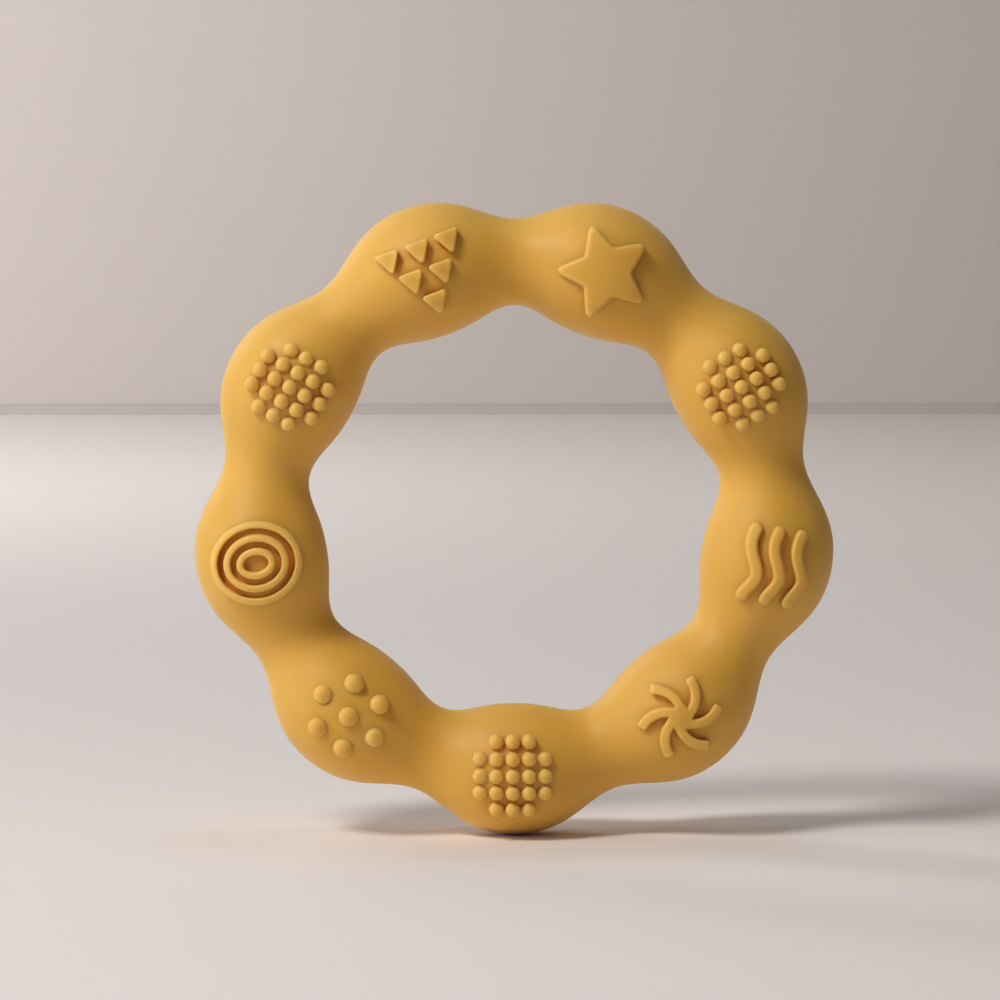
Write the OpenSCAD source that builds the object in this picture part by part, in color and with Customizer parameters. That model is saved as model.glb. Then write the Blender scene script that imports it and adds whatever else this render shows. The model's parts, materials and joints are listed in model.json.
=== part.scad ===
// Teething ring: one soft silicone ring of nine round lobes joined by narrow necks, with a
// raised pattern on the front of each lobe for sore gums to chew and small fingers to feel.
// Everything is drawn lying flat, with the patterns facing +Z, and is then stood upright:
// the ring's axis becomes Y, the patterned face looks towards -Y, and +Z is up.
// The origin is the ring's centre. Lobe 0 is the lowest, and the lobes are counted
// anticlockwise as seen from the front. All sizes are in millimetres.

/* [Ring] */
// Radius of the circle through the middles of the lobes
lobe_ring_r = 43.7; // [36:0.1:53]
// Radius of the ring's section in the middle of a lobe
lobe_r = 11.2; // [9.3:0.1:13.5]
// How much nearer to the ring's centre the middles of the necks lie
neck_inset = 1; // [0:0.1:2]
// Radius of the ring's section at the waist of a neck
neck_r = 7.2; // [5.5:0.1:9]
// How much wider than a plain wave the shoulders of a lobe are, as a share of its swell
shoulder = 0.13; // [0:0.01:0.2]

/* [Reliefs] */
// Height of every relief above the crown of its lobe
relief_h = 1.3; // [0.6:0.1:1.6]
// How much larger than the lobe's radius the shallow dome over the star and triangles is
flat_dome_extra = 8.8; // [6:0.2:25]
// How much larger than the lobe's radius the dome over the other patterns is
round_dome_extra = 4.8; // [2:0.2:12]

/* [Nub grids] */
// Diameter of a small nub
nub_d = 2.4; // [1.6:0.01:2.9]
// Gap between small nubs along the ring
nub_gap_along = 0.34; // [0.3:0.02:0.6]
// Gap between small nubs towards the ring's centre
nub_gap_across = 0.46; // [0.3:0.02:0.7]
// How far back along the ring the bottom grid sits from the middle of its lobe
bottom_grid_set_back = 0.5; // [0:0.1:1]

/* [Seven nubs] */
// Diameter of a large nub
big_nub_d = 3.2; // [2:0.1:4]
// Clear gap between neighbouring large nubs
big_nub_gap = 2.35; // [1.5:0.05:3]

/* [Star] */
// Radius of the circle through the star's tips
star_r = 9; // [6:0.1:9.4]
// Radius of the circle through the star's notches
star_notch_r = 4.3; // [3:0.1:4.8]
// Corner radius of the tips and the notches
star_corner_r = 0.8; // [0.2:0.05:1]

/* [Triangles] */
// Side of one triangle
triangle_side = 4.7; // [2.8:0.1:5]
// Gap between the triangles of one row
triangle_gap = 0.6; // [0.4:0.1:1.4]
// Gap between one row of triangles and the next
triangle_row_gap = 0.45; // [0.3:0.05:1.2]
// Corner radius of a triangle
triangle_corner_r = 0.55; // [0.1:0.05:0.7]
// How far nearer the ring's centre the triangles sit than the middle of their lobe
triangle_set_in = 1.2; // [0:0.1:1.5]

/* [Waves] */
// Width of a wave's stroke
wave_w = 2; // [1.2:0.1:2.2]
// Gap between one wave and the next
wave_gap = 1.9; // [1.2:0.1:2.4]
// Length of a wave between the middles of its round ends
wave_length = 11.5; // [8:0.1:12.5]
// Height of a wave's bends above and below its middle line
wave_swing = 0.85; // [0.4:0.05:1.1]
// How far back along the ring the waves sit from the middle of their lobe
wave_set_back = 0.6; // [0:0.1:1]
// How far farther from the ring's centre the waves sit than the middle of their lobe
wave_set_out = 0.8; // [0:0.1:1]

/* [Pinwheel] */
// Radius of the circle through the middles of the arms' round ends
pinwheel_r = 6.3; // [5:0.01:7.6]
// Width of an arm
arm_w = 1.64; // [1:0.02:2]
// Radius of the round hub that the arms grow out of
hub_r = 2.1; // [1.5:0.1:2.8]
// How far back along the ring the pinwheel sits from the middle of its lobe
pinwheel_set_back = 0.5; // [0:0.1:1]

/* [Ripples] */
// Longest half-width of the innermost oval, towards the ring's centre
ripple_half_length = 3.3; // [2.6:0.1:3.4]
// Shortest half-width of the innermost oval, along the ring
ripple_half_width = 2.6; // [2:0.1:2.8]
// Width of an oval's stroke
ripple_w = 1.14; // [0.7:0.01:1.4]
// Gap between one oval and the next
ripple_gap = 1.08; // [0.7:0.02:1.2]
// How far farther from the ring's centre the ovals sit than the middle of their lobe
ripple_set_out = 0.5; // [0:0.1:0.8]

/* [Hidden] */

silicone = "#d8a54b";
lobe_count = 9;
lobe_angle = 360 / lobe_count;

// The ring's surface is a mesh with this many sections to a lobe and corners to a section.
sections_per_lobe = 14;
section_corners = 20;
section_angle = lobe_angle / sections_per_lobe;
// Sections on each side of a lobe's middle that take in the whole of its pattern
pattern_sections = 6;

neck_ring_r = lobe_ring_r - neck_inset;

// Reliefs start well inside their lobe and are then trimmed to its surface.
relief_root = 0.35 * lobe_r;
crown = lobe_r + relief_h;
flat_dome_r = lobe_r + flat_dome_extra;
round_dome_r = lobe_r + round_dome_extra;
round_steps = 48;
corner_steps = 5;

grid_side = 5;
big_nubs_round = 6;
// Radius of a nub's round top, for each unit of its diameter
nub_dome_share = 0.56;
star_tips = 5;
triangle_rows = 3;

wave_count = 3;
// Length of one bend of a wave, how much longer each millimetre makes it, and the place
// along the wave where its middle bend crosses the middle line
wave_bend = wave_length * 0.47;
wave_stretch = 0.15;
wave_shift = wave_length * 0.05;

// Each arm is an arc from the hub to its tip. The arc's centre lies this share of
// pinwheel_r from the hub, and this many degrees ahead of the tip.
arm_count = 6;
arm_centre_share = 2 / 3;
arm_lead = 45;
// Direction of the first arm's tip
arm_turn = 31.5;

ripple_count = 3;

// ---- The ring's surface ----

// Swell of the ring from a neck, 0, to the middle of a lobe, 1, at an angle round the ring
function swell(a) =
    (1 + cos(lobe_count * a)) / 2 + shoulder * pow(sin(lobe_count * a), 2);

function section_r(a) = neck_r + (lobe_r - neck_r) * swell(a);

function section_ring_r(a) = neck_ring_r + (lobe_ring_r - neck_ring_r) * swell(a);

// A point of the surface: a is the angle round the ring from lobe 0, and b the angle round
// the section from its outermost point towards the front
function surface_point(a, b) =
    let (r = section_ring_r(a) + section_r(a) * cos(b))
    [r * sin(a), -r * cos(a), section_r(a) * sin(b)];

function surface_points(first, last) = [
    for (i = [first:last], j = [0:section_corners - 1])
        surface_point(i * section_angle, j * 360 / section_corners)
];

// The two triangles between section i, the next section, corner j and the next corner
function cell(i, next_i, j) =
    let (
        next_j = (j + 1) % section_corners,
        here = i * section_corners,
        there = next_i * section_corners
    )
    [
        [here + j, there + next_j, there + j],
        [here + j, here + next_j, there + next_j]
    ];

// The whole ring as one closed skin
module ring_skin() {
    sections = lobe_count * sections_per_lobe;
    polyhedron(
        points = surface_points(0, sections - 1),
        faces = [
            for (i = [0:sections - 1], j = [0:section_corners - 1])
                each cell(i, (i + 1) % sections, j)
        ]
    );
}

// The same skin for lobe 0 alone, closed at both ends, in the lobe's own frame
module lobe_skin() {
    last = 2 * pattern_sections;
    translate([0, lobe_ring_r, 0])
        polyhedron(
            points = surface_points(-pattern_sections, pattern_sections),
            faces = concat(
                [for (i = [0:last - 1], j = [0:section_corners - 1]) each cell(i, i + 1, j)],
                [[for (j = [section_corners - 1:-1:0]) j]],
                [[for (j = [0:section_corners - 1]) last * section_corners + j]]
            )
        );
}

// ---- Outlines ----

function unit(v) = v / norm(v);

// Points of the arc that rounds the corner at p, between its neighbours a and b
function round_corner(a, p, b, r) =
    let (
        to_a = unit(a - p),
        to_b = unit(b - p),
        half = acos(to_a * to_b) / 2,
        centre = p + unit(to_a + to_b) * r / sin(half),
        start = p + to_a * r / tan(half) - centre,
        end = p + to_b * r / tan(half) - centre,
        turn = atan2(start.x * end.y - start.y * end.x, start * end),
        from = atan2(start.y, start.x)
    )
    [
        for (i = [0:corner_steps])
            let (angle = from + turn * i / corner_steps)
            centre + r * [cos(angle), sin(angle)]
    ];

function rounded(corners, r) =
    let (n = len(corners))
    [
        for (i = [0:n - 1])
            each round_corner(corners[(i + n - 1) % n], corners[i], corners[(i + 1) % n], r)
    ];

// Half turn round the end of a stroke that runs in the given direction
function round_end(p, direction, w) =
    let (from = atan2(direction.y, direction.x) + 90, steps = 2 * corner_steps)
    [
        for (i = [1:steps - 1])
            let (angle = from - 180 * i / steps)
            p + w / 2 * [cos(angle), sin(angle)]
    ];

// Outline of a round-ended stroke of width w along a path of points
function stroke(path, w) =
    let (
        last = len(path) - 1,
        run = [for (i = [0:last]) unit(path[min(i + 1, last)] - path[max(i - 1, 0)])],
        side = [for (d = run) w / 2 * [-d.y, d.x]]
    )
    concat(
        [for (i = [0:last]) path[i] + side[i]],
        round_end(path[last], run[last], w),
        [for (i = [last:-1:0]) path[i] - side[i]],
        round_end(path[0], -run[0], w)
    );

function oval(half_width, half_length) = [
    for (i = [0:round_steps - 1])
        let (angle = 360 * i / round_steps)
        [half_width * cos(angle), half_length * sin(angle)]
];

// ---- Reliefs, each in its lobe's own frame ----
// x runs along the ring, y towards the ring's centre, and z out of the front of the lobe.

// Height of a dome of radius r over the point [x, y], with its top at the crown
function dome_z(p, r) = crown - r + sqrt(r * r - p * p);

// Moves a pattern away from the middle of its lobe, before it is seated there.
module set_off(x, y) {
    translate([x, y, 0])
        children();
}

// Puts a relief on one lobe of the upright ring.
module on_lobe(number) {
    rotate([90, 0, 0])
        rotate([0, 0, number * lobe_angle])
            translate([0, -lobe_ring_r, 0])
                children();
}

// A flat outline raised from the root of the reliefs up to the crown
module upright_wall() {
    translate([0, 0, relief_root])
        linear_extrude(crown - relief_root)
            children();
}

// Gives raised shapes a top that lies on a dome of radius r, and seats them on the lobe.
module seated(r) {
    difference() {
        intersection() {
            union() children();
            translate([0, 0, crown - r])
                sphere(r, $fn = 96);
        }
        lobe_skin();
    }
}

// A round-topped pin from the root of the reliefs up to the given height
module nub(d, top) {
    dome_r = nub_dome_share * d;
    intersection() {
        translate([0, 0, relief_root])
            cylinder(d = d, h = top - relief_root, $fn = 32);
        union() {
            translate([0, 0, top - dome_r])
                sphere(dome_r, $fn = 32);
            cylinder(r = dome_r, h = top - dome_r, $fn = 32);
        }
    }
}

// A nub at each of the given places, its top on the round dome
module nubs(places, d) {
    difference() {
        for (p = places)
            translate([p.x, p.y, 0])
                nub(d, dome_z(p, round_dome_r));
        lobe_skin();
    }
}

// A square block of small nubs without its four corners
module nub_grid(set_back = 0) {
    half = (grid_side - 1) / 2;
    step = [nub_d + nub_gap_along, nub_d + nub_gap_across];
    nubs(
        [
            for (i = [-half:half], j = [-half:half])
                if (abs(i) + abs(j) < 2 * half) [i * step.x - set_back, j * step.y]
        ],
        nub_d
    );
}

// ---- Sub-parts ----

module ring_body() {
    color(silicone)
        rotate([90, 0, 0])
            ring_skin();
}

module nub_grid_bottom() {
    color(silicone)
        on_lobe(0)
            nub_grid(bottom_grid_set_back);
}

// Six curved arms that turn anticlockwise as they leave the hub
module pinwheel_relief() {
    tip = [pinwheel_r, 0];
    centre = arm_centre_share * pinwheel_r * [cos(arm_lead), sin(arm_lead)];
    arc_r = norm(tip - centre);
    from = arm_lead + 180;
    to = 360 + atan2(tip.y - centre.y, tip.x - centre.x);
    steps = 14;
    path = [
        for (i = [0:steps])
            let (angle = from + (to - from) * i / steps)
            centre + arc_r * [cos(angle), sin(angle)]
    ];
    color(silicone)
        on_lobe(1)
            seated(round_dome_r)
                set_off(-pinwheel_set_back, 0) {
                    upright_wall()
                        circle(hub_r, $fn = 48);
                    for (i = [0:arm_count - 1])
                        rotate(arm_turn + i * 360 / arm_count)
                            upright_wall()
                                polygon(stroke(path, arm_w));
                }
}

// Three waves side by side, each one running along the ring
module wave_relief() {
    steps = 24;
    path = [
        for (i = [0:steps])
            let (x = wave_length * (i / steps - 0.5), s = x - wave_shift)
            [x, wave_swing * sin(180 * s / (wave_bend + wave_stretch * s))]
    ];
    color(silicone)
        on_lobe(2)
            seated(round_dome_r)
                set_off(-wave_set_back, -wave_set_out)
                    for (i = [0:wave_count - 1])
                        translate([0, (i - (wave_count - 1) / 2) * (wave_w + wave_gap), 0])
                            upright_wall()
                                polygon(stroke(path, wave_w));
}

module nub_grid_right() {
    color(silicone)
        on_lobe(3)
            nub_grid();
}

// A five-pointed star with one point towards the ring's centre
module star_relief() {
    corners = [
        for (i = [0:2 * star_tips - 1])
            let (r = i % 2 == 0 ? star_r : star_notch_r, angle = 90 + i * 180 / star_tips)
            r * [cos(angle), sin(angle)]
    ];
    color(silicone)
        on_lobe(4)
            seated(flat_dome_r)
                upright_wall()
                    polygon(rounded(corners, star_corner_r));
}

// Six triangles stacked in rows of three, two and one, all pointing to the ring's centre
module triangle_relief() {
    height = triangle_side * sin(60);
    corners = [
        [-triangle_side / 2, -height / 2],
        [triangle_side / 2, -height / 2],
        [0, height / 2]
    ];
    color(silicone)
        on_lobe(5)
            seated(flat_dome_r)
                set_off(0, triangle_set_in)
                    for (row = [0:triangle_rows - 1], i = [0:triangle_rows - 1 - row])
                        translate([
                            (i - (triangle_rows - 1 - row) / 2) * (triangle_side + triangle_gap),
                            (row - (triangle_rows - 1) / 2) * (height + triangle_row_gap),
                            0
                        ])
                            upright_wall()
                                polygon(rounded(corners, triangle_corner_r));
}

module nub_grid_left() {
    color(silicone)
        on_lobe(6)
            nub_grid();
}

// Three ovals, one inside the other
module ripple_relief() {
    color(silicone)
        on_lobe(7)
            seated(round_dome_r)
                set_off(0, -ripple_set_out)
                    for (i = [0:ripple_count - 1])
                        let (
                            grow = i * (ripple_w + ripple_gap),
                            a = ripple_half_width + grow,
                            b = ripple_half_length + grow
                        )
                        upright_wall()
                            difference() {
                                polygon(oval(a, b));
                                polygon(oval(a - ripple_w, b - ripple_w));
                            }
}

// One large nub in the middle and six round it
module seven_nub_relief() {
    color(silicone)
        on_lobe(8)
            nubs(
                concat(
                    [[0, 0]],
                    [
                        for (i = [0:big_nubs_round - 1])
                            let (angle = 360 * i / big_nubs_round)
                            (big_nub_d + big_nub_gap) * [cos(angle), sin(angle)]
                    ]
                ),
                big_nub_d
            );
}

ring_body();
nub_grid_bottom();
pinwheel_relief();
wave_relief();
nub_grid_right();
star_relief();
triangle_relief();
nub_grid_left();
ripple_relief();
seven_nub_relief();
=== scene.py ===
import json
from math import acos, atan2, cos, hypot, pi, radians, sin, sqrt, tan, tau

import bmesh
import bpy
from mathutils import Matrix, Vector


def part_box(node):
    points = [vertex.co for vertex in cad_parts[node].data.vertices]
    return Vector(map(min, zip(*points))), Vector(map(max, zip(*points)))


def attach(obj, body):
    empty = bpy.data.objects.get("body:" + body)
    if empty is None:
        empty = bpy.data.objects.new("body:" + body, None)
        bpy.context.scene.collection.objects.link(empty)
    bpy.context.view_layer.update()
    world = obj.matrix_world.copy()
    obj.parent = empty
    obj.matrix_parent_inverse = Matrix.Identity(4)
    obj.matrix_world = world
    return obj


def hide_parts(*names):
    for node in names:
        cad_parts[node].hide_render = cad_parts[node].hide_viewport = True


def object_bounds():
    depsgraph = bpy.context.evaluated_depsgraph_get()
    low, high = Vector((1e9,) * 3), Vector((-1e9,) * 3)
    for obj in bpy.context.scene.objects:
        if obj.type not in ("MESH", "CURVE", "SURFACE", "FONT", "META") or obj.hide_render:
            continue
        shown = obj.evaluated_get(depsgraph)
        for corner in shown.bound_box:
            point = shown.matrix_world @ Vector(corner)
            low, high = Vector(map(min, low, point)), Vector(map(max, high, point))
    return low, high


# A teething ring: one soft silicone ring of nine lobes, with a raised pattern on each.
# Each piece is shaped lying flat, patterns up, on the lobe nearest to -Y. It is then turned
# to its own lobe and stood upright, so that the patterns look towards -Y.

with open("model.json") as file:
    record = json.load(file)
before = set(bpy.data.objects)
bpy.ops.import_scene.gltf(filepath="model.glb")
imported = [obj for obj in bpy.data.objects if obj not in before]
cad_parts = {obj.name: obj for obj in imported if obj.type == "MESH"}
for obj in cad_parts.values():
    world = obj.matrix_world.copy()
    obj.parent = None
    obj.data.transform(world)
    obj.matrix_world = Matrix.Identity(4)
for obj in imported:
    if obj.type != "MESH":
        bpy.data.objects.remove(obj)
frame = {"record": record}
cad_low, cad_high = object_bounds()

MM = 0.001
TINY = 1e-6

# ---- Sizes from the solid model ----

ring_low, ring_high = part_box("ring_body")
lobe_r = ring_high.y
lobe_ring_r = -ring_low.z - lobe_r
crown = -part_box("star_relief")[0].y
neck_mount = next(m for m in frame["record"]["mounts"] if m["name"] == "strap_neck")
neck_r = neck_mount["dims"]["r_mm"] * MM
neck_ring_r = neck_mount["pos_m"][2]

LOBES = 9
lobe_angle = tau / LOBES
# How much fuller the shoulders of a lobe are than a plain cosine's
SHOULDER = 0.13

# Domes that the tops of the patterns lie on, and how much larger they are than a lobe
FLAT_DOME_EXTRA = 8.8 * MM
ROUND_DOME_EXTRA = 4.8 * MM
flat_dome_r = lobe_r + FLAT_DOME_EXTRA
round_dome_r = lobe_r + ROUND_DOME_EXTRA

# ---- Sizes of the patterns ----

NUB_D = 2.4 * MM
NUB_STEP = (2.74 * MM, 2.86 * MM)
BOTTOM_GRID_SET_BACK = 0.5 * MM
BIG_NUB_D = 3.2 * MM
BIG_NUB_STEP = 5.55 * MM
# Height of a nub's round top, for each unit of its diameter
NUB_CAP_SHARE = 0.36
NUB_DEPTH = 4 * MM
NUB_ROOT_DEPTH = 0.8 * MM

STAR_R = 9 * MM
STAR_NOTCH_R = 4.3 * MM
STAR_CORNER_R = 0.8 * MM
STAR_TIP_R = 1 * MM
STAR_STEP = radians(36)

# Size of each loop inside the rim, as a share of the loop round it
STAR_LOOPS = (0.92, 0.92, 0.9, 0.88, 0.86, 0.82, 0.76, 0.65, 0.5)
TRIANGLE_LOOPS = (0.8, 0.7, 0.5)

TRIANGLE_SIDE = 4.7 * MM
TRIANGLE_GAP = 0.6 * MM
TRIANGLE_ROW_GAP = 0.45 * MM
TRIANGLE_CORNER_R = 0.55 * MM
TRIANGLE_SET_IN = 1.2 * MM

WAVE_W = 2 * MM
WAVE_STEP = 3.9 * MM
WAVE_LENGTH = 11.5 * MM
WAVE_SWING = 0.85 * MM
WAVE_BEND = 0.47 * WAVE_LENGTH
WAVE_STRETCH = 0.15
WAVE_SHIFT = 0.05 * WAVE_LENGTH
WAVE_SET_BACK = 0.6 * MM
WAVE_SET_OUT = 0.8 * MM

PINWHEEL_R = 6.3 * MM
ARM_W = 1.64 * MM
HUB_R = 2.1 * MM
ARM_CENTRE_SHARE = 2 / 3
ARM_LEAD = radians(45)
ARM_TURN = radians(31.5)
PINWHEEL_SET_BACK = 0.5 * MM
ARM_CORNER_R = 0.5 * MM

RIPPLE_HALF_LENGTH = 3.3 * MM
RIPPLE_HALF_WIDTH = 2.6 * MM
RIPPLE_W = 1.14 * MM
RIPPLE_GAP = 1.08 * MM
RIPPLE_SET_OUT = 0.5 * MM

# Radius of the soft rim round each top
STAR_RIM = 0.5 * MM
TRIANGLE_RIM = 0.3 * MM
WAVE_RIM = 0.6 * MM
ARM_RIM = 0.45 * MM
RIPPLE_RIM = 0.4 * MM

# Fillet at the foot of a pattern, and the narrow hem outside it, sunk into the ring
FOOT = 0.14 * MM
NUB_FOOT = 0.1 * MM
HEM = 0.06 * MM
HEM_SINK = 0.05 * MM
# Height of a pattern's hidden underside, inside the ring
ROOT = 0.6 * lobe_r
FOOT_STEPS = 4
RIM_STEPS = 4
CORNER_STEPS = 5
# While a pattern is flat, its loops are kept this far apart in height to tell them apart,
# and its foot hangs this far below its outline.
LEVEL = 0.1 * MM
FOOT_DEPTH = 2 * MM
# Places closer than this count as the same.
NEAR = 0.01 * MM
# Edges of an outline longer than this are divided.
LONG_EDGE = 1.5 * MM

# The fine seam where the two halves of the mould met
SEAM_HALF_WIDTH = 0.16 * MM
SEAM_HEIGHT = 0.07 * MM


# ---- Handling pieces ----


def choose(piece):
    """Make this the only piece selected, in object mode."""
    if bpy.context.object and bpy.context.object.mode != "OBJECT":
        bpy.ops.object.mode_set(mode="OBJECT")
    bpy.ops.object.select_all(action="DESELECT")
    piece.select_set(True)
    bpy.context.view_layer.objects.active = piece


def shape(piece):
    """Open a piece for shaping, with nothing on it selected."""
    choose(piece)
    bpy.ops.object.mode_set(mode="EDIT")
    bpy.ops.mesh.select_all(action="DESELECT")


def close():
    bpy.ops.object.mode_set(mode="OBJECT")


def pick(kind, test):
    """Select only the corners, edges or faces that pass the test. Returns how many."""
    bpy.ops.mesh.select_mode(type=kind)
    bpy.ops.mesh.select_all(action="DESELECT")
    mesh = bmesh.from_edit_mesh(bpy.context.object.data)
    found = 0
    for part in {"VERT": mesh.verts, "EDGE": mesh.edges, "FACE": mesh.faces}[kind]:
        if test(part):
            part.select_set(True)
            found += 1
    mesh.select_flush_mode()
    bmesh.update_edit_mesh(bpy.context.object.data)
    return found


def extrude_edges(move=(0, 0, 0)):
    bpy.ops.mesh.extrude_edges_move(TRANSFORM_OT_translate={"value": move})


def extrude_faces(move=(0, 0, 0)):
    bpy.ops.mesh.extrude_region_move(TRANSFORM_OT_translate={"value": move})


def resize(x, y, z, centre):
    bpy.ops.transform.resize(value=(x, y, z), center_override=centre)


def shift(move):
    bpy.ops.transform.translate(value=move)


def turn(angle, centre):
    """Turn what is selected anticlockwise as seen from above."""
    bpy.ops.transform.rotate(value=-angle, orient_axis="Z", center_override=centre)


def named(name):
    piece = bpy.context.object
    piece.name = name
    return piece


def copies(piece, places):
    """Copies of a piece, each with its own mesh, moved to the places. The piece is used up."""
    made = []
    for place in places:
        choose(piece)
        bpy.ops.object.duplicate(linked=False)
        copy = bpy.context.object
        copy.location = place
        made.append(copy)
    bpy.data.objects.remove(piece)
    return made


def join(pieces, name):
    choose(pieces[0])
    for piece in pieces:
        piece.select_set(True)
    bpy.ops.object.transform_apply(location=True, rotation=True, scale=True)
    if len(pieces) > 1:
        bpy.ops.object.join()
    return named(name)


def apply_modifier(piece, kind, **settings):
    choose(piece)
    modifier = piece.modifiers.new(kind.title(), kind)
    for key, value in settings.items():
        setattr(modifier, key, value)
    bpy.ops.object.modifier_apply(modifier=modifier.name)


def stand_up(piece, lobe):
    """Turn a piece from the nearest lobe to its own, and stand it upright."""
    choose(piece)
    piece.matrix_world = Matrix.Rotation(pi / 2, 4, "X") @ Matrix.Rotation(
        lobe * lobe_angle, 4, "Z"
    )
    bpy.ops.object.transform_apply(location=True, rotation=True, scale=True)


# ---- The ring ----


def swell(angle):
    """From 0 at a neck to 1 at the middle of a lobe."""
    return (1 + cos(LOBES * angle)) / 2 + SHOULDER * sin(LOBES * angle) ** 2


def make_ring():
    sections, corners = 16 * LOBES, 24
    # The skin is smoothed later, and a round section then shrinks by this share.
    shrink = (2 + cos(tau / corners)) / 3
    bpy.ops.mesh.primitive_torus_add(
        major_segments=sections,
        minor_segments=corners,
        major_radius=lobe_ring_r,
        minor_radius=lobe_r / shrink,
    )
    ring = named("lobed_ring")
    shape(ring)
    for i in range(sections):
        angle = i * tau / sections
        out = Vector((cos(angle), sin(angle), 0))
        along = Vector((-sin(angle), cos(angle), 0))
        pick("VERT", lambda v: abs(v.co @ along) < NEAR and v.co @ out > 0)
        full = swell(angle + pi / 2)
        size = (neck_r + (lobe_r - neck_r) * full) / lobe_r
        resize(size, size, size, out * lobe_ring_r)
        shift(out * (lobe_ring_r - neck_ring_r) * (full - 1))
    close()
    apply_modifier(ring, "SUBSURF", levels=2, render_levels=2)
    shape(ring)
    pick("EDGE", lambda e: all(abs(v.co.z) < TINY for v in e.verts))
    bpy.ops.mesh.bevel(offset=SEAM_HALF_WIDTH, segments=2, affect="EDGES")
    pick("VERT", lambda v: abs(v.co.z) < TINY)
    bpy.ops.transform.shrink_fatten(value=SEAM_HEIGHT)
    close()
    bpy.ops.object.shade_smooth()
    return ring


def make_dome(radius):
    """A ball whose top is at the crown of the nearest lobe: tops of patterns are bent to it."""
    bpy.ops.mesh.primitive_uv_sphere_add(
        segments=256,
        ring_count=128,
        radius=radius,
        location=(0, -lobe_ring_r, crown - radius),
    )
    return bpy.context.object


# ---- Raising a pattern from its flat outline ----


def quarter(radius, steps):
    """Points round a quarter circle: how far across each lies, and how far from level."""
    angles = [i / steps * pi / 2 for i in range(steps + 1)]
    return [(radius * (1 - cos(a)), radius * (1 - sin(a))) for a in angles]


def add_rim(rim):
    """Inset the whole outline again and again, a level higher each time."""
    bpy.ops.mesh.select_all(action="SELECT")
    loops = quarter(rim, RIM_STEPS)
    for before, after in zip(loops, loops[1:]):
        bpy.ops.mesh.inset(thickness=after[0] - before[0], use_even_offset=True)
        shift((0, 0, LEVEL))


def add_foot(depth, foot):
    """Hang a wall from the open edges, and spread a foot and a hem from its lower edge."""
    loops = [across for across, _ in quarter(foot, FOOT_STEPS)] + [foot + HEM]
    pick("EDGE", lambda e: e.is_boundary)
    extrude_edges((0, 0, -depth))
    for before, after in zip(loops, loops[1:]):
        extrude_edges((0, 0, -LEVEL))
        bpy.ops.transform.shrink_fatten(value=after - before, use_even_offset=True)


def levels_of(piece):
    return [round(v.co.z / LEVEL) for v in piece.data.vertices]


def project(piece, name, target, chosen):
    """Push the chosen corners straight up until they lie on the target."""
    made = piece.vertex_groups.new(name=name)
    made.add(chosen, 1, "REPLACE")
    apply_modifier(
        piece,
        "SHRINKWRAP",
        target=target,
        wrap_method="PROJECT",
        use_project_z=True,
        use_positive_direction=True,
        use_negative_direction=False,
        vertex_group=name,
    )
    piece.vertex_groups.clear()


def seat_foot(piece, levels, first, foot, ring):
    """Lay the foot's loops on the lobe, curving up to the wall, with the hem sunk in."""
    project(piece, "foot", ring, [i for i, level in enumerate(levels) if level <= first])
    heights = [up for _, up in quarter(foot, FOOT_STEPS)] + [-HEM_SINK]
    shape(piece)
    for n, height in enumerate(heights):
        pick("VERT", lambda v: levels[v.index] == first - n)
        shift((0, 0, height))


def raise_up(piece, ring, dome, rim, ring_shaped=False):
    """Raise a flat outline to the dome and seat it on the lobe, with a soft rim and foot."""
    shape(piece)
    add_foot(FOOT_DEPTH, FOOT)
    close()
    levels = levels_of(piece)
    project(piece, "top", dome, [i for i, level in enumerate(levels) if level >= 0])
    seat_foot(piece, levels, -round(FOOT_DEPTH / LEVEL), FOOT, ring)
    for n, (_, down) in enumerate(quarter(rim, RIM_STEPS)):
        pick("VERT", lambda v: levels[v.index] == n)
        shift((0, 0, -down))
    pick("EDGE", lambda e: e.is_boundary)
    extrude_edges()
    resize(1, 1, 0, (0, 0, ROOT))
    if ring_shaped:
        bpy.ops.mesh.fill()
    else:
        bpy.ops.mesh.edge_face_add()
    close()
    bpy.ops.object.shade_smooth()
    return piece


# ---- Flat outlines, at z = 0 on the nearest lobe ----


def on_lobe(x, y):
    return Vector((x, y - lobe_ring_r, 0))


def outline(centre, corners, radius, first):
    """A flat face with its first corner in the given direction."""
    bpy.ops.mesh.primitive_circle_add(
        vertices=corners,
        radius=radius,
        fill_type="NGON",
        location=centre,
        rotation=(0, 0, first),
    )
    piece = bpy.context.object
    bpy.ops.object.transform_apply(location=True, rotation=True, scale=True)
    shape(piece)
    return piece


def crowned(centre, rim, loops, cuts):
    """Divide the outline's long edges, inset its rim, and fill it with shrinking loops."""
    pick("EDGE", lambda e: e.calc_length() > LONG_EDGE)
    bpy.ops.mesh.subdivide(number_cuts=cuts)
    add_rim(rim)
    for share in loops:
        extrude_faces()
        resize(share, share, 1, centre)
    bpy.ops.mesh.poke()


def far_from(centre, radius):
    return lambda v: abs((v.co - centre).length - radius) < NEAR


def round_corners(radius, half_angle):
    """Round the selected corners."""
    bpy.ops.mesh.bevel(
        offset=radius / tan(half_angle),
        segments=CORNER_STEPS,
        affect="VERTICES",
        clamp_overlap=False,
    )


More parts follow.
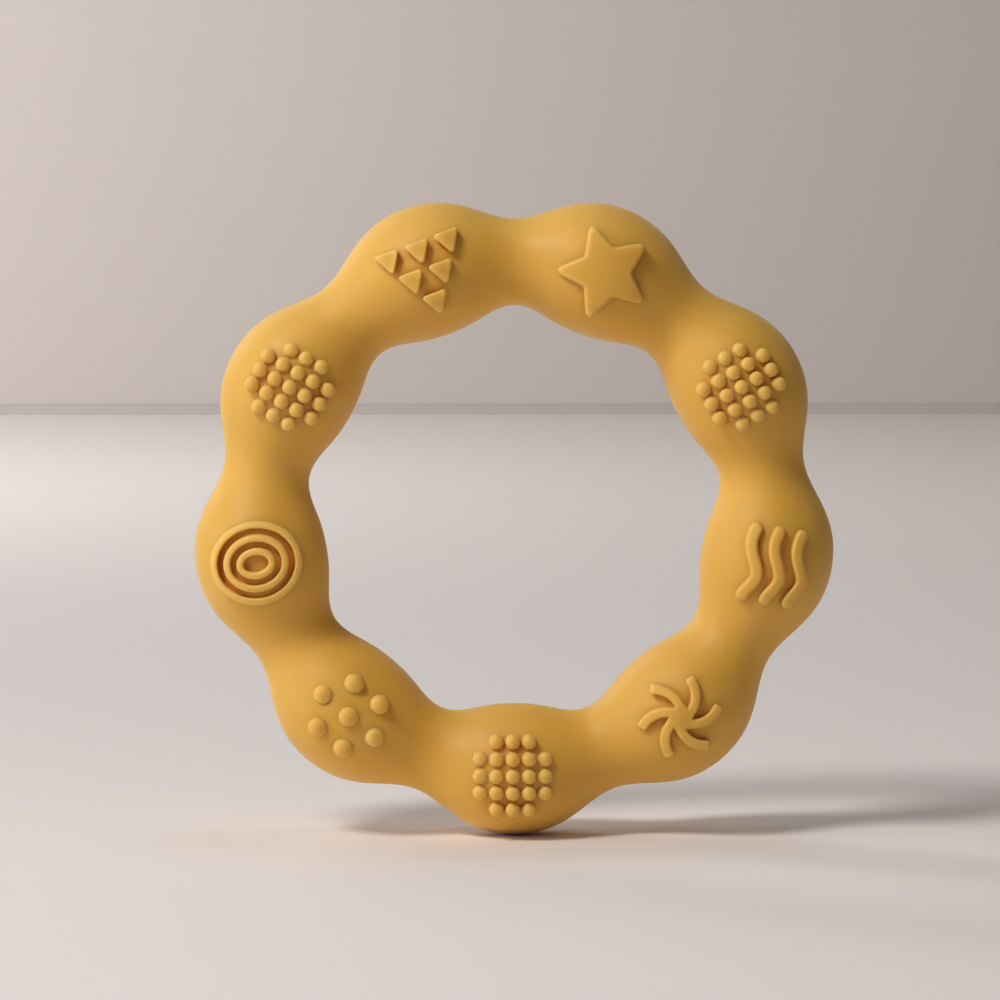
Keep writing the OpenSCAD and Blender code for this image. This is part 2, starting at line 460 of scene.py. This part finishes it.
def make_star(ring, dome):
    centre = on_lobe(0, 0)
    outline(centre, 10, STAR_R, 0)
    pick(
        "VERT",
        lambda v: round((atan2(v.co.y - centre.y, v.co.x) - pi / 2) / STAR_STEP) % 2 == 1,
    )
    resize(STAR_NOTCH_R / STAR_R, STAR_NOTCH_R / STAR_R, 1, centre)
    half_tip = atan2(
        STAR_NOTCH_R * sin(STAR_STEP), STAR_R - STAR_NOTCH_R * cos(STAR_STEP)
    )
    pick("VERT", far_from(centre, STAR_R))
    round_corners(STAR_TIP_R, half_tip)
    pick("VERT", far_from(centre, STAR_NOTCH_R))
    round_corners(STAR_CORNER_R, half_tip + STAR_STEP)
    crowned(centre, STAR_RIM, STAR_LOOPS, 6)
    close()
    return raise_up(named("star"), ring, dome, STAR_RIM)


def make_triangles(ring, dome):
    height = TRIANGLE_SIDE * sin(radians(60))
    centre = on_lobe(0, 0)
    outline(centre, 3, TRIANGLE_SIDE / sqrt(3), 0)
    pick("VERT", lambda v: True)
    round_corners(TRIANGLE_CORNER_R, radians(30))
    crowned(centre, TRIANGLE_RIM, TRIANGLE_LOOPS, 3)
    close()
    triangle = bpy.context.object
    # The outline's middle is its centroid; a row's middle is half its height.
    drop = height / 6
    places = [
        Vector(
            (
                (i - (2 - row) / 2) * (TRIANGLE_SIDE + TRIANGLE_GAP),
                (row - 1) * (height + TRIANGLE_ROW_GAP) - drop + TRIANGLE_SET_IN,
                0,
            )
        )
        for row in range(3)
        for i in range(3 - row)
    ]
    return raise_up(join(copies(triangle, places), "triangles"), ring, dome, TRIANGLE_RIM)


# ---- Strokes ----


def edge_at(place):
    return lambda e: ((e.verts[0].co + e.verts[1].co) / 2 - place).length < NEAR


def start_stroke(path, width):
    """A first short stretch of a stroke, with its leading edge selected."""
    start, second = path[0], path[1]
    run = second - start
    bpy.ops.mesh.primitive_plane_add(size=1, location=(0, 0, 0))
    piece = bpy.context.object
    piece.scale = (run.length, width, 1)
    piece.rotation_euler = (0, 0, atan2(run.y, run.x))
    piece.location = (start + second) / 2
    bpy.ops.object.transform_apply(location=True, rotation=True, scale=True)
    shape(piece)
    pick("EDGE", edge_at(second))
    return piece


def heading(path, i):
    """Direction of a path at a point."""
    run = path[min(i + 1, len(path) - 1)] - path[max(i - 1, 0)]
    return atan2(run.y, run.x)


def extend(path, first):
    """Extrude the selected edge along the path, square to it at each point."""
    facing = atan2((path[1] - path[0]).y, (path[1] - path[0]).x)
    turn(heading(path, first) - facing, path[first])
    facing = heading(path, first)
    for i in range(first + 1, len(path)):
        extrude_edges(path[i] - path[i - 1])
        turn(heading(path, i) - facing, path[i])
        facing = heading(path, i)


def round_off(end, direction, width, corner):
    """Carry the selected edge on to a rounded end, with corners of the given radius."""
    place = end
    reach = 0
    wide = width
    if width / 2 - corner > NEAR:
        reach = width / 2 - corner
        extrude_edges(direction * reach)
        place = end + direction * reach
    for i in range(1, CORNER_STEPS + 1):
        angle = i / CORNER_STEPS * pi / 2
        step = corner * (sin(angle) - sin(angle - pi / 2 / CORNER_STEPS))
        place = place + direction * step
        new = width - 2 * corner * (1 - cos(angle))
        extrude_edges(direction * step)
        if new > NEAR:
            resize(new / wide, new / wide, 1, place)
        wide = new
    if wide <= NEAR:
        bpy.ops.mesh.merge(type="CENTER")


def make_waves(ring, dome):
    steps = 24
    path = []
    for i in range(steps + 1):
        x = WAVE_LENGTH * (i / steps - 0.5)
        s = x - WAVE_SHIFT
        y = WAVE_SWING * sin(pi * s / (WAVE_BEND + WAVE_STRETCH * s))
        path.append(on_lobe(x, y))
    wave = start_stroke(path, WAVE_W)
    extend(path, 1)
    ahead = (path[-1] - path[-2]).normalized()
    round_off(path[-1], ahead, WAVE_W, WAVE_W / 2)
    pick("EDGE", edge_at(path[0]))
    back = (path[0] - path[1]).normalized()
    round_off(path[0], back, WAVE_W, WAVE_W / 2)
    add_rim(WAVE_RIM)
    close()
    places = [
        Vector((-WAVE_SET_BACK, i * WAVE_STEP - WAVE_SET_OUT, 0)) for i in (-1, 0, 1)
    ]
    return raise_up(join(copies(wave, places), "waves"), ring, dome, WAVE_RIM)


def make_pinwheel(ring, dome):
    """A six-sided hub with an arm grown from each side."""
    centre = on_lobe(-PINWHEEL_SET_BACK, 0)
    arc_centre = Vector((cos(ARM_LEAD), sin(ARM_LEAD), 0)) * ARM_CENTRE_SHARE * PINWHEEL_R
    tip = Vector((PINWHEEL_R, 0, 0))
    arc_r = (tip - arc_centre).length
    side_r = HUB_R * cos(radians(30))
    # Where the arm's middle line crosses the side of the hub
    reach = arc_centre.length
    inside = acos((reach**2 + arc_r**2 - side_r**2) / (2 * reach * arc_r))
    start = ARM_LEAD + pi + inside
    end = tau + atan2(tip.y - arc_centre.y, tip.x - arc_centre.x)
    first = arc_centre + arc_r * Vector((cos(start), sin(start), 0))
    side_at = atan2(first.y, first.x)
    outline(centre, 6, HUB_R, ARM_TURN + side_at + radians(30) - pi / 2)
    steps = 12
    for arm in range(6):
        swing = Matrix.Rotation(ARM_TURN + arm * tau / 6, 3, "Z")
        path = []
        for i in range(steps + 1):
            angle = start + (end - start) * i / steps
            along = arc_centre + arc_r * Vector((cos(angle), sin(angle), 0))
            path.append(centre + swing @ along)
        pick("EDGE", edge_at(path[0]))
        out = path[0] - centre
        facing = atan2(out.y, out.x)
        for i in range(1, steps + 1):
            extrude_edges(path[i] - path[i - 1])
            turn(heading(path, i) - facing, path[i])
            facing = heading(path, i)
            if i == 1:
                resize(ARM_W / HUB_R, ARM_W / HUB_R, 1, path[1])
        ahead = (path[-1] - path[-2]).normalized()
        round_off(path[-1], ahead, ARM_W, ARM_CORNER_R)
    pick("FACE", lambda f: len(f.verts) == 6)
    bpy.ops.mesh.poke()
    add_rim(ARM_RIM)
    close()
    return raise_up(named("pinwheel"), ring, dome, ARM_RIM)


def face_up(piece):
    """Turn a flat sheet's faces upwards if they look down."""
    mesh = bmesh.from_edit_mesh(piece.data)
    bpy.ops.mesh.select_all(action="SELECT")
    bpy.ops.mesh.normals_make_consistent(inside=False)
    mesh.faces.ensure_lookup_table()
    if mesh.faces[0].normal.z < 0:
        bpy.ops.mesh.flip_normals()


def make_ripples(ring, dome):
    centre = on_lobe(0, -RIPPLE_SET_OUT)
    ovals = []
    for i in range(3):
        grow = i * (RIPPLE_W + RIPPLE_GAP)
        a, b = RIPPLE_HALF_WIDTH + grow, RIPPLE_HALF_LENGTH + grow
        bpy.ops.mesh.primitive_circle_add(
            vertices=48 + 16 * i, radius=1, fill_type="NOTHING", location=centre
        )
        oval = bpy.context.object
        oval.scale = (a, b, 1)
        bpy.ops.object.transform_apply(location=True, rotation=True, scale=True)
        shape(oval)
        pick("EDGE", lambda e: True)
        extrude_edges()
        resize((a - RIPPLE_W) / a, (b - RIPPLE_W) / b, 1, centre)
        face_up(oval)
        add_rim(RIPPLE_RIM)
        close()
        ovals.append(raise_up(oval, ring, dome, RIPPLE_RIM, ring_shaped=True))
    return join(ovals, "ripples")


# ---- Nubs ----


def dome_z(x, y):
    return crown - round_dome_r + sqrt(round_dome_r**2 - x * x - y * y)


def make_nubs(name, diameter, places, ring):
    """One round-topped nub, copied to each place and seated on the lobe."""
    sides, loops = 24, 7
    radius, cap = diameter / 2, NUB_CAP_SHARE * diameter
    bpy.ops.mesh.primitive_circle_add(
        vertices=sides, radius=radius, fill_type="NGON", location=(0, 0, -cap)
    )
    nub = bpy.context.object
    bpy.ops.object.transform_apply(location=True, rotation=True, scale=True)
    shape(nub)
    bpy.ops.mesh.select_all(action="SELECT")
    angles = [(i + 1) / (loops + 1) * pi / 2 for i in range(-1, loops)]
    for before, after in zip(angles, angles[1:]):
        bpy.ops.mesh.inset(thickness=radius * (cos(before) - cos(after)))
        shift((0, 0, cap * (sin(after) - sin(before))))
    bpy.ops.mesh.poke(offset=cap * (1 - sin(angles[-1])))
    add_foot(NUB_DEPTH - cap, NUB_FOOT)
    close()
    block = join(copies(nub, [on_lobe(x, y) for x, y in places]), name)
    first = -round(NUB_DEPTH / LEVEL)
    levels = levels_of(block)
    seat_foot(block, levels, first, NUB_FOOT, ring)
    for x, y in places:
        middle = on_lobe(x, y)
        pick(
            "VERT",
            lambda v: levels[v.index] > first
            and hypot(v.co.x - middle.x, v.co.y - middle.y) < radius + NEAR,
        )
        shift((0, 0, dome_z(x, y)))
    pick("EDGE", lambda e: e.is_boundary)
    extrude_edges((0, 0, -NUB_ROOT_DEPTH))
    bpy.ops.mesh.merge(type="COLLAPSE")
    close()
    bpy.ops.object.shade_smooth()
    return block


def grid_places(set_back=0):
    """A five by five grid without its corners."""
    return [
        (i * NUB_STEP[0] - set_back, j * NUB_STEP[1])
        for i in range(-2, 3)
        for j in range(-2, 3)
        if abs(i) + abs(j) < 4
    ]


def round_places():
    """One in the middle and six round it."""
    around = [
        (BIG_NUB_STEP * cos(i * tau / 6), BIG_NUB_STEP * sin(i * tau / 6)) for i in range(6)
    ]
    return [(0, 0)] + around


# ---- The silicone, and the paint of the floor and the wall ----

PIGMENT = (0.740, 0.405, 0.050, 1), (0.795, 0.445, 0.066, 1)
DUST = (0.90, 0.74, 0.48, 1)
DUST_STRENGTH = 0.35
# Share of the specks that are left out
BARE_SHARE = 0.82
# Painted shade: a deeper, darker orange painted into narrow gaps, and how far from a gap it
# reaches
PAINTED_GAP_SHADE = (0.60, 0.205, 0.012, 1)
GAP_SHADE_REACH = 1.6 * MM
# Painted light: a paler colour painted onto thin raised parts, and how thin a part must be to get
# it
PAINTED_THIN_LIGHT = (0.95, 0.57, 0.13, 1)
THIN_LIGHT_REACH = 1.5 * MM
OCCLUSION_SAMPLES = 8
ROUGHNESS = 0.50, 0.60


def add_node(tree, kind, inputs=None, **settings):
    made = tree.nodes.new(kind)
    for key, value in settings.items():
        setattr(made, key, value)
    for key, value in (inputs or {}).items():
        if isinstance(value, bpy.types.NodeSocket):
            tree.links.new(value, made.inputs[key])
        else:
            made.inputs[key].default_value = value
    return made


def ramp(tree, value, start, end, at_start, at_end):
    """Map a value between two limits, and hold it beyond them."""
    return add_node(
        tree,
        "ShaderNodeMapRange",
        {
            "Value": value,
            "From Min": start,
            "From Max": end,
            "To Min": at_start,
            "To Max": at_end,
        },
    ).outputs[0]


def blend(tree, share, under, over):
    """Mix two colours: the second covers the first where the share is 1."""
    return add_node(
        tree, "ShaderNodeMix", {"Factor": share, 6: under, 7: over}, data_type="RGBA"
    ).outputs[2]


def calculate(tree, operation, first, second):
    return add_node(
        tree, "ShaderNodeMath", {0: first, 1: second}, operation=operation
    ).outputs[0]


def blank_material(name):
    material = bpy.data.materials.new(name)
    material.use_nodes = True
    tree = material.node_tree
    tree.nodes.clear()
    return material, tree


def mustard_silicone():
    material, tree = blank_material("mustard_silicone")
    place = add_node(tree, "ShaderNodeTexCoord").outputs["Object"]

    # Slow drifts of the pigment
    pigment = add_node(
        tree, "ShaderNodeTexNoise", {"Vector": place, "Scale": 55, "Detail": 3, "Roughness": 0.55}
    )
    colour = blend(tree, pigment.outputs["Fac"], *PIGMENT)

    # A few specks of pale dust
    spots = add_node(
        tree, "ShaderNodeTexVoronoi", {"Vector": place, "Scale": 260, "Randomness": 1}
    )
    speck = ramp(tree, spots.outputs["Distance"], 0.025, 0.045, 1, 0)
    chance = add_node(tree, "ShaderNodeSeparateColor", {0: spots.outputs["Color"]}).outputs[0]
    kept = calculate(tree, "GREATER_THAN", chance, BARE_SHARE)
    dust = calculate(tree, "MULTIPLY", speck, kept)
    dust = calculate(tree, "MULTIPLY", dust, DUST_STRENGTH)
    colour = blend(tree, dust, colour, DUST)

    # Painted shade: narrow gaps are painted a deeper, darker orange, standing in for the shade and
    # the orange bounce light inside them.
    gap = add_node(
        tree,
        "ShaderNodeAmbientOcclusion",
        {"Distance": GAP_SHADE_REACH},
        samples=OCCLUSION_SAMPLES,
        only_local=False,
    )
    colour = blend(tree, ramp(tree, gap.outputs["AO"], 0.2, 0.95, 1, 0), colour, PAINTED_GAP_SHADE)

    # Painted light: thin raised parts are painted paler, standing in for the light that shines
    # through them.
    thick = add_node(
        tree,
        "ShaderNodeAmbientOcclusion",
        {"Distance": THIN_LIGHT_REACH},
        samples=OCCLUSION_SAMPLES,
        inside=True,
        only_local=True,
    )
    colour = blend(tree, ramp(tree, thick.outputs["AO"], 0.3, 0.95, 1, 0), colour, PAINTED_THIN_LIGHT)

    # The satin of the mould: patches that are a little duller, and a fine grain
    patches = add_node(tree, "ShaderNodeTexNoise", {"Vector": place, "Scale": 180, "Detail": 4})
    rough = ramp(tree, patches.outputs["Fac"], 0.3, 0.7, *ROUGHNESS)
    grain = add_node(
        tree, "ShaderNodeTexNoise", {"Vector": place, "Scale": 2200, "Detail": 3, "Roughness": 0.6}
    )
    satin = add_node(
        tree,
        "ShaderNodeBump",
        {"Height": grain.outputs["Fac"], "Strength": 0.25, "Distance": 0.04 * MM},
    )
    unevenness = add_node(tree, "ShaderNodeTexNoise", {"Vector": place, "Scale": 140, "Detail": 2})
    surface = add_node(
        tree,
        "ShaderNodeBump",
        {
            "Height": unevenness.outputs["Fac"],
            "Strength": 0.2,
            "Distance": 0.3 * MM,
            "Normal": satin.outputs["Normal"],
        },
    )

    shader = add_node(
        tree,
        "ShaderNodeBsdfPrincipled",
        {
            "Base Color": colour,
            "Roughness": rough,
            "Normal": surface.outputs["Normal"],
            "IOR": 1.41,
            "Specular IOR Level": 0.6,
            "Subsurface Weight": 0.45,
            "Subsurface Radius": (1.0, 0.42, 0.14),
            "Subsurface Scale": 3 * MM,
            "Sheen Weight": 0.2,
            "Sheen Roughness": 0.45,
            "Sheen Tint": (1.0, 0.93, 0.72, 1),
        },
    )
    output = add_node(tree, "ShaderNodeOutputMaterial")
    tree.links.new(shader.outputs[0], output.inputs["Surface"])
    return material


def matte_paint(name, pale, dark):
    material, tree = blank_material(name)
    place = add_node(tree, "ShaderNodeTexCoord").outputs["Object"]
    clouds = add_node(tree, "ShaderNodeTexNoise", {"Vector": place, "Scale": 6, "Detail": 5})
    colour = blend(tree, clouds.outputs["Fac"], (*dark, 1), (*pale, 1))
    shader = add_node(
        tree,
        "ShaderNodeBsdfPrincipled",
        {"Base Color": colour, "Roughness": 0.7, "Specular IOR Level": 0.2},
    )
    output = add_node(tree, "ShaderNodeOutputMaterial")
    tree.links.new(shader.outputs[0], output.inputs["Surface"])
    return material


# ---- Making the pieces ----

ring = make_ring()
flat_dome = make_dome(flat_dome_r)
round_dome = make_dome(round_dome_r)

bottom_places = grid_places(BOTTOM_GRID_SET_BACK)

# The node that each piece replaces, and the lobe it is turned to
made = {
    "nub_grid_bottom": (make_nubs("bottom_nub_grid", NUB_D, bottom_places, ring), 0),
    "pinwheel_relief": (make_pinwheel(ring, round_dome), 1),
    "wave_relief": (make_waves(ring, round_dome), 2),
    "nub_grid_right": (make_nubs("right_nub_grid", NUB_D, grid_places(), ring), 3),
    "star_relief": (make_star(ring, flat_dome), 4),
    "triangle_relief": (make_triangles(ring, flat_dome), 5),
    "nub_grid_left": (make_nubs("left_nub_grid", NUB_D, grid_places(), ring), 6),
    "ripple_relief": (make_ripples(ring, round_dome), 7),
    "seven_nub_relief": (make_nubs("seven_nubs", BIG_NUB_D, round_places(), ring), 8),
    "ring_body": (ring, 0),
}
bpy.data.objects.remove(flat_dome)
bpy.data.objects.remove(round_dome)

silicone = mustard_silicone()
for node, (piece, lobe) in made.items():
    stand_up(piece, lobe)
    piece.data.materials.clear()
    piece.data.materials.append(silicone)
    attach(piece, "root")
    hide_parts(node)

# ---- Floor, wall, light and camera ----

floor_z = cad_low.z
WALL_Y = 1.70
FLOOR_SIZE = 9, 6
WALL_SIZE = 9, 4
# A narrow strip at the wall's foot, just in front of the wall, painted a little darker: painted
# shade where the floor meets the wall
WALL_SEAM_SHADE_SIZE = 9, 5 * MM
WALL_SEAM_SHADE_GAP = 1 * MM
UPRIGHT = pi / 2, 0, 0


def stage_plane(name, size, location, rotation, material):
    bpy.ops.mesh.primitive_plane_add(size=1, location=(0, 0, 0))
    plane = named(name)
    plane.scale = (*size, 1)
    plane.rotation_euler = rotation
    plane.location = location
    bpy.ops.object.transform_apply(location=True, rotation=True, scale=True)
    plane.data.materials.append(material)
    return plane


floor_paint = matte_paint("pale_table", (0.892, 0.825, 0.779), (0.872, 0.805, 0.759))
wall_paint = matte_paint("pale_wall", (0.630, 0.570, 0.530), (0.610, 0.550, 0.510))
# Painted shade: the darker paint of the strip at the wall's foot
wall_seam_shade_paint = matte_paint("wall_foot", (0.56, 0.51, 0.475), (0.54, 0.49, 0.455))
bpy.ops.object.select_all(action="DESELECT")
floor_place = 0, WALL_Y - FLOOR_SIZE[1] / 2, floor_z
wall_seam_shade_place = 0, WALL_Y - WALL_SEAM_SHADE_GAP, floor_z + WALL_SEAM_SHADE_SIZE[1] / 2
wall_place = 0, WALL_Y, floor_z + WALL_SIZE[1] / 2
stage_plane("floor", FLOOR_SIZE, floor_place, (0, 0, 0), floor_paint)
stage_plane("painted_wall_seam_shade", WALL_SEAM_SHADE_SIZE, wall_seam_shade_place, UPRIGHT, wall_seam_shade_paint)
stage_plane("wall", WALL_SIZE, wall_place, UPRIGHT, wall_paint)


# A little bluer than the lamps
DAYLIGHT = (0.93, 1.0, 1.13)


def area_light(name, place, aim, size, power, colour=(1, 1, 1)):
    """A round soft light that looks from its place at what it is aimed at."""
    place, aim = Vector(place), Vector(aim)
    bpy.ops.object.light_add(type="AREA", location=place)
    lamp = named(name)
    lamp.rotation_euler = (place - aim).to_track_quat("Z", "Y").to_euler()
    lamp.data.shape = "DISK"
    lamp.data.size = size
    lamp.data.energy = power
    lamp.data.color = colour
    return lamp


area_light("key_light", (-0.42, -0.38, 0.60), (0, 0, 0), 0.25, 4.0)
area_light("side_light", (-1.4, -0.3, 0.3), (0, 0, 0), 0.8, 6.2, DAYLIGHT)
area_light("top_light", (0.08, 0.12, 0.85), (0, 0, 0), 0.3, 0.6, DAYLIGHT)
area_light("back_light", (-0.6, 0.9, 0.8), (-0.1, 0.6, -0.05), 0.6, 1.7, DAYLIGHT)
area_light("wall_light", (-0.9, 0.9, 0.5), (0.1, 1.7, 0), 0.5, 8.8)

world = bpy.data.worlds.new("studio")
bpy.context.scene.world = world
world.use_nodes = True
world.node_tree.nodes["Background"].inputs["Color"].default_value = (1.0, 0.90, 0.75, 1)
world.node_tree.nodes["Background"].inputs["Strength"].default_value = 0.11

# The camera looks at the aim from this far away, this much from above and from the left.
CAMERA_AIM = Vector((-2.45 * MM, 0, 2.25 * MM))
CAMERA_DISTANCE = 0.768
CAMERA_UP = radians(3.5)
CAMERA_LEFT = radians(1)
towards_camera = Vector(
    (
        -sin(CAMERA_LEFT) * cos(CAMERA_UP),
        -cos(CAMERA_LEFT) * cos(CAMERA_UP),
        sin(CAMERA_UP),
    )
)
bpy.ops.object.camera_add(
    location=CAMERA_AIM + CAMERA_DISTANCE * towards_camera,
    rotation=(pi / 2 - CAMERA_UP, 0, -CAMERA_LEFT),
)
camera = named("camera")
camera.data.sensor_width = 36
camera.data.lens = 162.6
bpy.context.scene.camera = camera
bpy.context.scene.view_settings.view_transform = "Standard"
